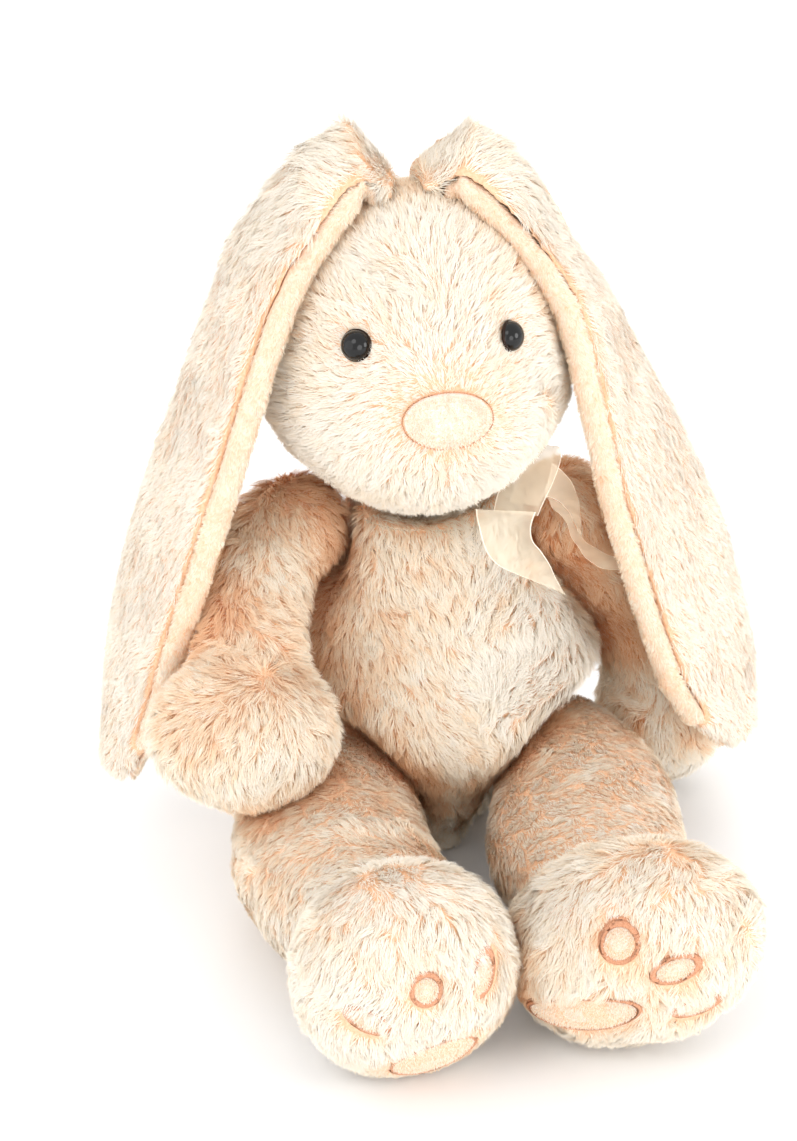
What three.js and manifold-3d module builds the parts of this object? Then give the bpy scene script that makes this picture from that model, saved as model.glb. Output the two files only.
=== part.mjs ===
// A sitting plush rabbit with long lop ears, long pile fabric, embroidered soles and a sheer ribbon.
// Millimetres, +Z up. The rabbit faces -Y, +X is on the viewer's right when it is seen from the front.
// The origin is the centre of the flat underside of the seat.
import * as THREE from "three";
import { mergeVertices } from "three/addons/utils/BufferGeometryUtils.js";
import Module from "manifold-3d";

const wasm = await Module();
wasm.setup();

// ---------- driving dimensions ----------
const CLOTH = 2.4; // plush backing with its flattened pile, as one wall
const GAP = 0.4; // between pieces that touch
const LOOSE = 0.7; // between a cover and its stuffing
const SOCKET_GAP = 1.5; // round a limb's root, so that it turns freely in its seam
const HEAD = { x: -16.5, y: 2, z: 234, width: 128, depth: 120, height: 138 };
const MUZZLE = { reach: 15, spread: 0.62, aim: [0, -0.94, -0.3] };
const NECK = { x: -11, y: 3, z: 174, ball: 18 };
const EYE = { apart: 64, y: -50, z: 256, diameter: 14.4, rise: 5.6, post: 4, length: 15, washer: 14 };
const NOSE = { x: -13, z: 231, width: 35, height: 22 };
const EAR = { thickness: 15, fold: 23, root: 32, widest: 76, tip: 44, roll: 5, outerShare: 0.62 };
const SEAM_R = { shoulder: 23, hip: 31 };
const SHOULDER = { left: [-66, 4, 153], right: [50, 6, 150] };
const HIP = { left: [-51, -20, 38], right: [49, -20, 38] };
const LEG = { thigh: 41, ankle: 36, flat: 0.9 };
const FOOT = { halfWidth: 46, halfLength: 55, sole: 36, back: 34, between: -5 };
const TOE = { width: 17, length: 23, stitch: 2.4 };
const PAD = { width: 50, length: 30, stitch: 1.6 };
const TAIL = { y: 66, z: 40, r: 18 };
const RIBBON = { thickness: 0.9, top: 169, bottom: 158 };
const NOD = [-6, 5];
const COLOUR = {
  cream: "#f1e5d3",
  lining: "#eed2b5",
  stuffing: "#f7f5f0",
  eye: "#1b1917",
  washer: "#e8e8e4",
  velour: "#e3cdb6",
  stitch: "#d8956b",
  ribbon: "#f6e9d6",
  pellets: "#dcd8cc",
};

// ---------- solids ----------
const vector = (p) => new THREE.Vector3(...p);
const seat = (p, dx, dy, dz) => [p[0] + dx, p[1] + dy, p[2] + dz];

function solid(geometry) {
  const bare = new THREE.BufferGeometry();
  bare.setAttribute("position", geometry.getAttribute("position"));
  bare.setIndex(geometry.getIndex());
  const merged = mergeVertices(bare, 1e-4);
  return new wasm.Manifold(
    new wasm.Mesh({
      numProp: 3,
      vertProperties: merged.getAttribute("position").array,
      triVerts: new Uint32Array(merged.getIndex().array),
    }),
  );
}

function geometryOf(manifold) {
  const mesh = manifold.getMesh();
  const geometry = new THREE.BufferGeometry();
  const points = new Float32Array(mesh.vertProperties);
  geometry.setAttribute("position", new THREE.BufferAttribute(points, 3));
  geometry.setIndex(new THREE.BufferAttribute(new Uint32Array(mesh.triVerts), 1));
  geometry.computeVertexNormals();
  return geometry;
}

// The volume under one triangle fan of a closed surface, positive when its faces point out.
function signedVolume(points, faces) {
  let six = 0;
  for (let i = 0; i < faces.length; i += 3) {
    const [a, b, c] = [points[faces[i]], points[faces[i + 1]], points[faces[i + 2]]];
    six += a.dot(new THREE.Vector3().crossVectors(b, c));
  }
  return six / 6;
}

// One closed surface through a row of rings; the first and the last ring may be single points,
// and a ring of more points at either end is closed with a flat fan.
function skin(rings) {
  const points = [];
  const faces = [];
  const starts = rings.map((ring) => {
    points.push(...ring);
    return points.length - ring.length;
  });
  for (let r = 0; r + 1 < rings.length; r += 1) {
    const n = Math.max(rings[r].length, rings[r + 1].length);
    for (let k = 0; k < n; k += 1) {
      const next = (k + 1) % n;
      const a = starts[r] + (rings[r].length > 1 ? k : 0);
      const b = starts[r] + (rings[r].length > 1 ? next : 0);
      const c = starts[r + 1] + (rings[r + 1].length > 1 ? k : 0);
      const d = starts[r + 1] + (rings[r + 1].length > 1 ? next : 0);
      if (a !== b) faces.push(a, b, c);
      if (c !== d) faces.push(b, d, c);
    }
  }
  [0, rings.length - 1].forEach((r) => {
    for (let k = 1; k + 1 < rings[r].length; k += 1) {
      const fan = [starts[r], starts[r] + k + 1, starts[r] + k];
      faces.push(...(r === 0 ? fan : fan.reverse()));
    }
  });
  if (signedVolume(points, faces) < 0) faces.reverse();
  const geometry = new THREE.BufferGeometry().setFromPoints(points);
  geometry.setIndex(faces);
  return solid(geometry);
}

// A sphere's mesh with each unit direction sent to a point of the caller's choice.
function ball(place, around = 18, up = 12) {
  const geometry = new THREE.SphereGeometry(1, around, up);
  const spots = geometry.getAttribute("position");
  for (let i = 0; i < spots.count; i += 1) {
    const p = place(new THREE.Vector3().fromBufferAttribute(spots, i).normalize());
    spots.setXYZ(i, p.x, p.y, p.z);
  }
  return solid(geometry);
}

function sphere(centre, radius, around = 16, up = 10) {
  return ball((d) => d.multiplyScalar(radius).add(vector(centre)), around, up);
}

function ellipsoid(centre, radii, around = 16, up = 10) {
  return ball((d) => d.multiply(vector(radii)).add(vector(centre)), around, up);
}

// A value that runs smoothly through a list as t goes from 0 to 1.
function along(values, t) {
  const spot = Math.min(t, 1) * (values.length - 1);
  const i = Math.min(Math.floor(spot), values.length - 2);
  const s = THREE.MathUtils.smoothstep(spot - i, 0, 1) * 0.5 + (spot - i) * 0.5;
  return THREE.MathUtils.lerp(values[i], values[i + 1], s);
}

// A stuffed tube with round ends along a spine; flat squashes it in the direction nearest to up.
function limb({ spine, radii, up, flat = 1 }, grow = 0, steps = 6, sides = 14) {
  const curve = new THREE.CatmullRomCurve3(spine.map(vector));
  const capSteps = 3;
  const ring = (t, slide, share) => {
    const centre = curve.getPoint(t);
    const ahead = curve.getTangent(t);
    const side = new THREE.Vector3().crossVectors(ahead, vector(up)).normalize();
    const over = new THREE.Vector3().crossVectors(side, ahead).normalize();
    const r = along(radii, t) + grow;
    centre.addScaledVector(ahead, slide * r);
    return Array.from({ length: share > 0 ? sides : 1 }, (_, k) => {
      const turn = (2 * Math.PI * k) / sides;
      const squash = THREE.MathUtils.lerp(1, flat, Math.min(1, t * 3));
      return centre
        .clone()
        .addScaledVector(side, r * share * Math.cos(turn))
        .addScaledVector(over, r * share * squash * Math.sin(turn));
    });
  };
  const rings = [];
  for (let i = 0; i < capSteps; i += 1) {
    const angle = (Math.PI / 2) * (i / capSteps);
    rings.push(ring(0, -Math.cos(angle), Math.sin(angle)));
  }
  for (let i = 0; i <= steps; i += 1) rings.push(ring(i / steps, 0, 1));
  for (let i = capSteps - 1; i >= 0; i -= 1) {
    const angle = (Math.PI / 2) * (i / capSteps);
    rings.push(ring(1, Math.cos(angle), Math.sin(angle)));
  }
  return skin(rings);
}

// The same solid turned about an axis parallel to X through a hinge, for clearance.
function swung(made, hinge, degrees) {
  return made
    .translate([-hinge[0], -hinge[1], -hinge[2]])
    .rotate([degrees, 0, 0])
    .translate(hinge);
}

function union(list) {
  return list.reduce((sum, one) => sum.add(one));
}

// ---------- the group ----------
const rabbit = new THREE.Group();
rabbit.name = "plush_rabbit";

// The biggest of the separate bodies that a cut leaves.
function largest(made) {
  return made.decompose().reduce((a, b) => (b.volume() > a.volume() ? b : a));
}

function piece(name, made, color, roughness = 0.95) {
  const material = new THREE.MeshStandardMaterial({ color, roughness, metalness: 0 });
  const mesh = new THREE.Mesh(geometryOf(made), material);
  mesh.name = name;
  rabbit.add(mesh);
}

// ---------- head ----------
// The head is egg shaped, with the muzzle and jowls pushed out low at the front.
function headSolid(grow, around = 20, up = 12) {
  const aim = vector(MUZZLE.aim).normalize();
  const half = new THREE.Vector3(HEAD.width, HEAD.depth, HEAD.height).multiplyScalar(0.5);
  return ball(
    (d) => {
      const off = d.angleTo(aim) / MUZZLE.spread;
      const reach = 1 + (MUZZLE.reach / half.y) * Math.exp(-off * off);
      const p = d.clone().multiply(half).multiplyScalar(reach);
      return p.addScaledVector(d, grow).add(new THREE.Vector3(HEAD.x, HEAD.y, HEAD.z));
    },
    around,
    up,
  );
}

// A safety eye: a flattened dome on a ribbed post, with its axis along +Z before it is placed.
function eyeSolid(grow = 0) {
  const r = EYE.diameter / 2 + grow;
  const post = EYE.post / 2 + grow;
  const profile = [new THREE.Vector2(0, -EYE.length - grow)];
  profile.push(new THREE.Vector2(post, -EYE.length - grow));
  profile.push(new THREE.Vector2(post, -grow));
  profile.push(new THREE.Vector2(r, -grow));
  for (let i = 1; i < 5; i += 1) {
    const angle = (Math.PI / 10) * i;
    profile.push(new THREE.Vector2(r * Math.cos(angle), (EYE.rise + grow) * Math.sin(angle)));
  }
  profile.push(new THREE.Vector2(0, EYE.rise + grow));
  return turned(profile);
}

// A closed profile of (radius, height) turned about +Z.
function turned(profile, sides = 14) {
  return solid(new THREE.LatheGeometry(profile, sides).rotateX(Math.PI / 2));
}

// The push-on washer that locks an eye's post behind the cloth.
function washerSolid(grow = 0) {
  const hole = grow > 0 ? 0 : EYE.post / 2 + GAP;
  const corners = [[hole, -grow], [EYE.washer / 2 + grow, -grow]];
  corners.push([EYE.washer / 2 + grow, 1.6 + grow], [hole, 1.6 + grow]);
  if (hole > 0) corners.push(corners[0]);
  return turned(corners.map(([r, z]) => new THREE.Vector2(r, z)));
}

// Puts a solid whose own +Z points out of the face at an eye's seat.
function atEye(made, side, lift = 0) {
  const spot = new THREE.Vector3(HEAD.x + (side * EYE.apart) / 2, EYE.y, EYE.z);
  const centre = new THREE.Vector3(HEAD.x, HEAD.y, HEAD.z);
  const out = spot.clone().sub(centre).normalize();
  const turn = new THREE.Quaternion().setFromUnitVectors(new THREE.Vector3(0, 0, 1), out);
  spot.addScaledVector(out, lift);
  return placed(made, spot, turn);
}

function placed(made, spot, turn) {
  const m = new THREE.Matrix4().compose(spot, turn, new THREE.Vector3(1, 1, 1));
  return made.transform(m.elements);
}

// An oval bar pointing forward along -Y, to cut patches and stitch rings out of a shell.
function ovalBar(width, height, centre, tilt, length, segments = 18) {
  const shape = new THREE.Shape().absellipse(0, 0, width / 2, height / 2, 0, 2 * Math.PI, false, tilt);
  const options = { depth: length, bevelEnabled: false, curveSegments: segments };
  const geometry = new THREE.ExtrudeGeometry(shape, options);
  geometry.rotateX(Math.PI / 2);
  geometry.translate(...centre);
  return solid(geometry);
}

function makeHead() {
  const neckHole = sphere([NECK.x, NECK.y, NECK.z], NECK.ball + SOCKET_GAP);
  const collar = ellipsoid([NECK.x, NECK.y, NECK.z - 10], [34, 34, 12], 16, 8);
  const outside = headSolid(0);
  const inside = headSolid(-CLOTH);
  const noseSpot = [NOSE.x, HEAD.y - 30, NOSE.z];
  const noseBar = (grow) =>
    ovalBar(NOSE.width + 2 * grow, NOSE.height + 2 * grow, noseSpot, 0, 70, 12);
  const stitchWidth = 1.4;
  const nosePocket = noseBar(stitchWidth + 2 * GAP).subtract(headSolid(-1.4));
  const eyes = [-1, 1].map((side) => atEye(eyeSolid(GAP), side));
  const washers = [-1, 1].map((side) => atEye(washerSolid(GAP), side, -8));
  const cover = outside
    .subtract(inside)
    .subtract(collar.add(neckHole))
    .subtract(nosePocket)
    .subtract(union(eyes));
  const stuffing = headSolid(-CLOTH - LOOSE)
    .subtract(neckHole)
    .subtract(collar)
    .subtract(union(eyes))
    .subtract(union(washers));
  piece("head_cover", cover, COLOUR.cream);
  piece("head_stuffing", stuffing, COLOUR.stuffing);
  ["left", "right"].forEach((name, i) => {
    piece(`eye_${name}`, atEye(eyeSolid(), 2 * i - 1), COLOUR.eye, 0.08);
    piece(`eye_washer_${name}`, atEye(washerSolid(), 2 * i - 1, -8), COLOUR.washer, 0.5);
  });
  const patch = noseBar(0).intersect(headSolid(1.2)).subtract(headSolid(-1));
  const ring = noseBar(GAP + stitchWidth)
    .subtract(noseBar(GAP))
    .intersect(headSolid(0.9))
    .subtract(headSolid(-1));
  piece("nose_patch", patch, COLOUR.velour);
  piece("nose_stitching", ring, COLOUR.stitch, 0.7);
}

// ---------- ears ----------
// Each ear hangs from the crown along a spine. Turn is how far its width is turned out of the
// front-to-back direction, in degrees, and droop is how far its front edge hangs below its back
// one, both from the root to the tip.
const EARS = {
  left: {
    turn: [6, 10, 12, 13, 14, 14, 12, 10],
    droop: [0.4, 0.65, 0.2, 0, 0, 0, 0, 0],
    spine: [
      [-33, 6, 296],
      [-35, 6, 310],
      [-43, 4, 316],
      [-55, 0, 306],
      [-74, -5, 283],
      [-90, -9, 246],
      [-102, -9, 211],
      [-115, -7, 172],
      [-128, -5, 130],
      [-138, -4, 88],
      [-144, -4, 57],
      [-147, -4, 44],
    ],
  },
  right: {
    turn: [-4, -10, -12, -26, -38, -43, -45, -42],
    droop: [0.4, 0.65, 0.2, 0, 0, 0, 0, 0],
    spine: [
      [-6, 6, 296],
      [-5, 6, 308],
      [3, 4, 314],
      [17, 0, 305],
      [39, -5, 278],
      [54, -9, 246],
      [67, -12, 212],
      [80, -15, 178],
      [95, -17, 138],
      [109, -19, 94],
      [122, -21, 58],
      [126, -22, 46],
    ],
  },
};

// The ear's cross-sections from its root to its tip: back runs across the ear away from its
// front edge, out faces away from the head, and half is half of the ear's width.
function earSections(ear, side) {
  const curve = new THREE.CatmullRomCurve3(ear.spine.map(vector), false, "centripetal");
  const steps = 16;
  const widths = [EAR.root, 44, 60, 72, EAR.widest, EAR.widest, 70, EAR.tip];
  return Array.from({ length: steps + 1 }, (_, i) => {
    const t = (i / steps) ** 1.25;
    const centre = curve.getPointAt(t);
    const ahead = curve.getTangentAt(t);
    const turn = THREE.MathUtils.degToRad(along(ear.turn, t));
    const back = new THREE.Vector3(-Math.sin(turn), Math.cos(turn), along(ear.droop, t));
    back.addScaledVector(ahead, -back.dot(ahead)).normalize();
    const out = new THREE.Vector3().crossVectors(ahead, back).multiplyScalar(side).normalize();
    const taper = Math.sqrt(1 - 0.7 * Math.max(0, (t - 0.93) / 0.07) ** 2);
    return { t, centre, back, out, half: (along(widths, t) / 2) * taper };
  });
}

// Half of a flat ear: face 1 is the plush outside, face -1 is the short-pile lining.
function earHalf(ear, face, side) {
  const across = 7;
  const thicknesses = [EAR.root / 2, EAR.fold, EAR.thickness, EAR.thickness, EAR.thickness];
  const rings = earSections(ear, side).map(({ t, centre, back, out, half }) => {
    const share = face > 0 ? EAR.outerShare : 1 - EAR.outerShare;
    const thick = along(thicknesses, Math.min(1, t * 1.6)) * share;
    return Array.from({ length: across + 1 }, (_, k) => {
      const angle = (Math.PI * k) / across;
      const rise = Math.sin(angle) ** 0.7 * thick + GAP / 2;
      const spot = centre.clone().addScaledVector(back, -Math.cos(angle) * half);
      return spot.addScaledVector(out, face * rise);
    });
  });
  return skin(rings);
}

// The lining's rolled front edge, which turns out past the plush.
function earRoll(ear, side, grow) {
  const around = 8;
  const rings = earSections(ear, side)
    .slice(2, -1)
    .map(({ centre, back, out, half }) =>
      Array.from({ length: around }, (_, k) => {
        const angle = (2 * Math.PI * k) / around;
        const spot = EAR.roll * 0.85 - half + (EAR.roll + grow) * Math.cos(angle);
        const rise = (EAR.roll * 1.15 + grow) * Math.sin(angle);
        return centre.clone().addScaledVector(back, spot).addScaledVector(out, rise);
      }),
    );
  return skin(rings);
}

function makeEars() {
  Object.entries(EARS).forEach(([name, ear]) => {
    const side = name === "left" ? -1 : 1;
    const scalp = headSolid(GAP);
    const outer = earHalf(ear, 1, side).subtract(earRoll(ear, side, GAP)).subtract(scalp);
    const lining = earHalf(ear, -1, side).add(earRoll(ear, side, 0)).subtract(scalp);
    piece(`ear_outer_${name}`, largest(outer), COLOUR.cream);
    piece(`ear_lining_${name}`, largest(lining), COLOUR.lining);
  });
}

// ---------- arms ----------
const ARMS = {
  left: {
    spine: [SHOULDER.left, [-79, -9, 146], [-88, -30, 127], [-94, -57, 101]],
    radii: [SEAM_R.shoulder, 22, 20, 25],
    up: [0, 1, 0],
    paw: { centre: [-97, -68, 94], radii: [38, 34, 33] },
    opening: [11, 0, 2],
    swings: [0, -25, -50, -75],
  },
  right: {
    spine: [SHOULDER.right, [70, 11, 124], [89, 17, 90], [101, 18, 54]],
    radii: [SEAM_R.shoulder, 21, 22, 26],
    up: [0, 1, 0],
    paw: { centre: [103, 19, 41], radii: [31, 31, 36] },
    opening: [-11, 0, 2],
    swings: [0, 20, 40],
  },
};

function armSolid(arm, grow) {
  const paw = ellipsoid(arm.paw.centre, arm.paw.radii.map((r) => r + grow), 14, 10);
  return limb(arm, grow, 5, 12).add(paw);
}

function makeArms() {
  Object.entries(ARMS).forEach(([name, arm]) => {
    const hole = ellipsoid(seat(arm.spine[0], ...arm.opening), [15, 13, 13], 12, 8);
    const cover = armSolid(arm, 0).subtract(armSolid(arm, -CLOTH)).subtract(hole);
    piece(`arm_cover_${name}`, cover, COLOUR.cream);
    piece(`arm_stuffing_${name}`, armSolid(arm, -CLOTH - LOOSE), COLOUR.stuffing);
  });
}

// ---------- legs and feet ----------
// A foot is a thick oval cushion. Its own frame has the sole facing -Y and the toes up +Z. In
// degrees, roll turns the toes about the leg's line, tip leans the sole down and yaw turns it.
const LEGS = {
  left: {
    spine: [HIP.left, [-63, -56, 38], [-68, -95, 39], [-55, -140, 42]],
    foot: { centre: [-50, -178, 47], tip: 20, yaw: 9, roll: -16 },
    opening: [14, 14, 6],
    inward: 1,
  },
  right: {
    spine: [HIP.right, [49, -56, 38], [45, -95, 40], [43, -132, 42]],
    foot: { centre: [43, -174, 47], tip: 15, yaw: -13, roll: 60 },
    opening: [-14, 14, 6],
    inward: -1,
  },
};
const HIP_SWINGS = [0, 25, 50, 75];

function footTurn(foot) {
  const [tip, roll, yaw] = [foot.tip, foot.roll, foot.yaw].map(THREE.MathUtils.degToRad);
  return new THREE.Quaternion().setFromEuler(new THREE.Euler(tip, roll, yaw, "ZXY"));
}

function footSolid(foot, grow, around = 18, up = 10) {
  const turn = footTurn(foot);
  return ball(
    (d) => {
      const depth = d.y < 0 ? FOOT.sole + grow : FOOT.back + grow;
      const flatter = Math.sign(d.y) * Math.abs(d.y) ** (d.y < 0 ? 0.8 : 1);
      const across = d.x * (FOOT.halfWidth + grow);
      const p = new THREE.Vector3(across, flatter * depth, d.z * (FOOT.halfLength + grow));
      return p.applyQuaternion(turn).add(vector(foot.centre));
    },
    around,
    up,
  );
}

function onFoot(foot, made) {
  return placed(made, vector(foot.centre), footTurn(foot));
}

function legTube(leg) {
  const radii = [SEAM_R.hip, LEG.thigh, LEG.thigh, LEG.ankle];
  return { spine: leg.spine, radii, up: [0, 0, 1], flat: LEG.flat };
}

// Each leg lies flat on the ground, and the feet are pressed flat against each other.
function legSolid(leg, grow) {
  const between = FOOT.between - leg.inward * (0.6 - grow);
  return limb(legTube(leg), grow, 5, 14)
    .add(footSolid(leg.foot, grow))
    .trimByPlane([0, 0, 1], -grow)
    .trimByPlane([-leg.inward, 0, 0], -leg.inward * between);
}

// The soles carry three toe pads and one ball pad, each in a satin-stitched oval.
const SOLE_PADS = [
  { name: "toe_inner", spot: [25, 9], tilt: -0.35, size: TOE },
  { name: "toe_middle", spot: [0, 24], tilt: 0, size: TOE },
  { name: "toe_outer", spot: [-25, 9], tilt: 0.35, size: TOE },
  { name: "ball", spot: [0, -22], tilt: 0, size: PAD },
];

function makeSole(name, leg) {
  const { foot } = leg;
  const reach = FOOT.sole + 12;
  const shells = [1.2, 1.8, -0.9, -1.3].map((grow) => footSolid(foot, grow));
  const [padTop, stitchTop, under, pocketFloor] = shells;
  const pockets = [];
  SOLE_PADS.forEach((pad) => {
    const [x, z] = pad.spot;
    const bar = (grow) => {
      const [width, length] = [pad.size.width + 2 * grow, pad.size.length + 2 * grow];
      return onFoot(foot, ovalBar(width, length, [x, 0, z], pad.tilt, reach, 7));
    };
    const inner = bar(-pad.size.stitch - GAP);
    const hole = bar(-pad.size.stitch);
    const whole = bar(0);
    piece(`${pad.name}_pad_${name}`, inner.intersect(padTop).subtract(under), COLOUR.velour);
    const ring = whole.subtract(hole).intersect(stitchTop).subtract(under);
    piece(`${pad.name}_stitching_${name}`, ring, COLOUR.stitch, 0.6);
    pockets.push(bar(GAP).subtract(pocketFloor));
  });
  return union(pockets);
}

function makeLegs(pawPress) {
  Object.entries(LEGS).forEach(([name, leg]) => {
    const hole = ellipsoid(seat(leg.spine[0], ...leg.opening), [20, 20, 18], 12, 8);
    const pockets = makeSole(name, leg);
    const dent = pawPress(1.2);
    const deepDent = pawPress(1.2 + CLOTH);
    const deeperDent = pawPress(1.2 + CLOTH + LOOSE);
    const outside = legSolid(leg, 0).subtract(dent);
    const inside = legSolid(leg, -CLOTH).subtract(deepDent);
    const cover = outside.subtract(inside).subtract(hole).subtract(pockets);
    piece(`leg_cover_${name}`, cover, COLOUR.cream);
    const stuffing = legSolid(leg, -CLOTH - LOOSE).subtract(deeperDent);
    piece(`leg_stuffing_${name}`, stuffing, COLOUR.stuffing);
  });
}

// Where the left paw presses into the thigh, with the way it leaves as the arm lifts.
function leftPawPress(grow) {
  const { centre, radii } = ARMS.left.paw;
  const paw = ellipsoid(centre, radii.map((r) => r + grow), 14, 8);
  const lifts = [0, -12, -24];
  return union(lifts.map((angle) => swung(paw, SHOULDER.left, angle)));
}

// ---------- body ----------
// Half width, half depth and the centre of the pear-shaped body, from the seat to the neck.
const BODY = {
  height: 184,
  halfWidth: [46, 68, 73, 72, 68, 62, 54, 43, 28],
  halfDepth: [38, 61, 67, 66, 61, 54, 47, 39, 27],
  lean: [0, 0, 0, -1, -3, -5, -7, -9, -11],
  forward: [3, -4, -7, -7, -4, -1, 1, 3, 3],
};

// A limb's root swings in the side of the body: the balls of room that it needs there.
function swingRoom(tube, hinge, swings) {
  const curve = new THREE.CatmullRomCurve3(tube.spine.map(vector));
  const pivot = vector(hinge);
  return swings.flatMap((degrees) =>
    [0, 0.12, 0.24, 0.36, 0.48, 0.6, 0.72].map((t) => {
      const centre = curve.getPoint(t).sub(pivot);
      centre.applyAxisAngle(new THREE.Vector3(1, 0, 0), THREE.MathUtils.degToRad(degrees));
      return { centre: centre.add(pivot), radius: along(tube.radii, t) };
    }),
  );
}

const LIMB_ROOM = [
  ...Object.values(ARMS).flatMap((arm) => swingRoom(arm, arm.spine[0], arm.swings)),
  ...Object.values(LEGS).flatMap((leg) => swingRoom(legTube(leg), leg.spine[0], HIP_SWINGS)),
];

// How far a level line can run from a point before it meets the first ball of room.
function clearRun(from, way, wanted, margin) {
  return LIMB_ROOM.reduce((run, { centre, radius }) => {
    const to = centre.clone().sub(from);
    const nearest = to.dot(way);
    const chord = (radius + margin) ** 2 - to.lengthSq() + nearest ** 2;
    return chord > 0 && nearest > 0 ? Math.min(run, nearest - Math.sqrt(chord)) : run;
  }, wanted);
}

function bodySolid(grow, margin = 5, rows = 16, sides = 24) {
  const rays = [];
  for (let i = 0; i <= rows; i += 1) {
    const even = i / rows;
    const t = even - 0.035 * Math.sin(4 * Math.PI * even) * (1 - even);
    const z = THREE.MathUtils.clamp(t * BODY.height, -Math.min(grow, 0), BODY.height + grow);
    const centre = new THREE.Vector3(along(BODY.lean, t), along(BODY.forward, t), z);
    rays.push(
      Array.from({ length: sides }, (_, k) => {
        const angle = (2 * Math.PI * k) / sides;
        const a = (along(BODY.halfWidth, t) + grow) * Math.cos(angle);
        const b = (along(BODY.halfDepth, t) + grow) * Math.sin(angle);
        const way = new THREE.Vector3(a, b, 0).normalize();
        return { centre, way, run: clearRun(centre, way, Math.hypot(a, b), margin - grow) };
      }),
    );
  }
  evenOut(rays);
  return skin(
    rays.map((row) => row.map(({ centre, way, run }) => centre.clone().addScaledVector(way, run))),
  );
}

// Rounds off the edges of the hollows for the limbs: no ray stands far proud of its neighbours.
function evenOut(rays, passes = 4, proud = 2.5) {
  for (let pass = 0; pass < passes; pass += 1) {
    const runs = rays.map((row) => row.map((ray) => ray.run));
    rays.forEach((row, i) => {
      row.forEach((ray, k) => {
        const beside = (runs[i].at(k - 1) + runs[i][(k + 1) % row.length]) / 2;
        const below = runs[Math.max(i - 1, 0)][k];
        const above = runs[Math.min(i + 1, runs.length - 1)][k];
        ray.run = Math.min(ray.run, beside + proud, (below + above) / 2 + 2 * proud);
      });
    });
  }
}

// The bowl in the top of the body that the head nods in.
function headBowl(grow) {
  const head = headSolid(grow, 16, 10);
  const pivot = [NECK.x, NECK.y, NECK.z];
  return union(NOD.map((angle) => swung(head, pivot, angle)));
}

function makeBody() {
  const bowlGap = 3;
  const neckBall = sphere([NECK.x, NECK.y, NECK.z], NECK.ball + SOCKET_GAP, 14, 8);
  const outside = bodySolid(0).subtract(headBowl(bowlGap));
  const inside = bodySolid(-CLOTH).subtract(headBowl(bowlGap + CLOTH));
  const cover = outside.subtract(inside).subtract(neckBall);
  const bag = { centre: [0, 24, 16], radii: [21, 21, 16] };
  const bagFloor = 3.2;
  const flattenedBag = (grow) =>
    ellipsoid(bag.centre, bag.radii.map((r) => r + grow), 16, 10)
      .trimByPlane([0, 0, 1], bagFloor - grow);
  const packed = bodySolid(-CLOTH - LOOSE)
    .subtract(headBowl(bowlGap + CLOTH + LOOSE))
    .subtract(neckBall)
    .subtract(flattenedBag(GAP));
  piece("body_cover", cover, COLOUR.cream);
  piece("body_stuffing", packed, COLOUR.stuffing);
  piece("pellet_bag", flattenedBag(0), COLOUR.pellets);
  const neck = sphere([NECK.x, NECK.y, NECK.z], NECK.ball, 14, 8);
  piece("neck_stuffing", neck, COLOUR.stuffing);
}

function makeTail() {
  const centre = [0, TAIL.y, TAIL.z];
  const cover = sphere(centre, TAIL.r, 14, 10)
    .subtract(sphere(centre, TAIL.r - CLOTH, 14, 10))
    .subtract(bodySolid(GAP))
    .subtract(ellipsoid([0, TAIL.y - TAIL.r, TAIL.z], [8, 8, 8], 10, 8));
  const stuffing = sphere(centre, TAIL.r - CLOTH - LOOSE, 14, 10).subtract(bodySolid(GAP));
  piece("tail_cover", cover, COLOUR.cream);
  piece("tail_stuffing", stuffing, COLOUR.stuffing);
}

// ---------- ribbon ----------
// A sheer ribbon tied round the neck, with its bow at the viewer's right of the chin. Each strip
// runs through stations: a point and the vector from it to the ribbon's edge.
const KNOT = { centre: [12, -52, 168], radii: [8, 5, 7] };
const STRIPS = {
  ribbon_loop_upper: [
    [[19, -55, 173], [8, -3, -8]],
    [[27, -50, 182], [9, -3, -7]],
    [[37, -43, 192], [7, -3, -6]],
    [[43, -38, 193], [7, -3, -6]],
    [[36, -41, 181], [9, -4, -7]],
    [[25, -47, 172], [8, -4, -7]],
  ],
  ribbon_loop_back: [
    [[27, -41, 168], [5, 1, 7]],
    [[38, -34, 174], [5, 3, 9]],
    [[48, -30, 175], [6, 4, 9]],
    [[53, -31, 172], [6, 4, 8]],
    [[44, -37, 168], [5, 3, 8]],
  ],
  ribbon_tail_front: [
    [[14, -60, 170], [12, 1, 1]],
    [[17, -61, 159], [13, 2, 4]],
    [[23, -60, 146], [13, 3, 5]],
    [[31, -58, 134], [8, 2, 3]],
    [[36, -57, 129], [2, 1, 1]],
  ],
  ribbon_tail_side: [
    [[30, -46, 157], [3, 1, 7]],
    [[42, -42, 155], [4, 1, 8]],
    [[53, -38, 146], [5, 1, 8]],
    [[62, -36, 137], [5, 1, 8]],
  ],
};

function strip(stations) {
  const path = new THREE.CatmullRomCurve3(stations.map(([at]) => vector(at)));
  const edge = new THREE.CatmullRomCurve3(stations.map(([, across]) => vector(across)));
  const steps = (stations.length - 1) * 2;
  const rings = [];
  for (let i = 0; i <= steps; i += 1) {
    const t = i / steps;
    const [centre, across, ahead] = [path.getPoint(t), edge.getPoint(t), path.getTangent(t)];
    const normal = new THREE.Vector3().crossVectors(ahead, across).normalize();
    normal.multiplyScalar(RIBBON.thickness / 2);
    const corners = [[1, 1], [0, 1], [-1, 1], [-1, -1], [0, -1], [1, -1]];
    rings.push(
      corners.map(([a, n]) =>
        centre.clone().addScaledVector(across, a).addScaledVector(normal, n),
      ),
    );
  }
  return skin(rings);
}

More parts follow.
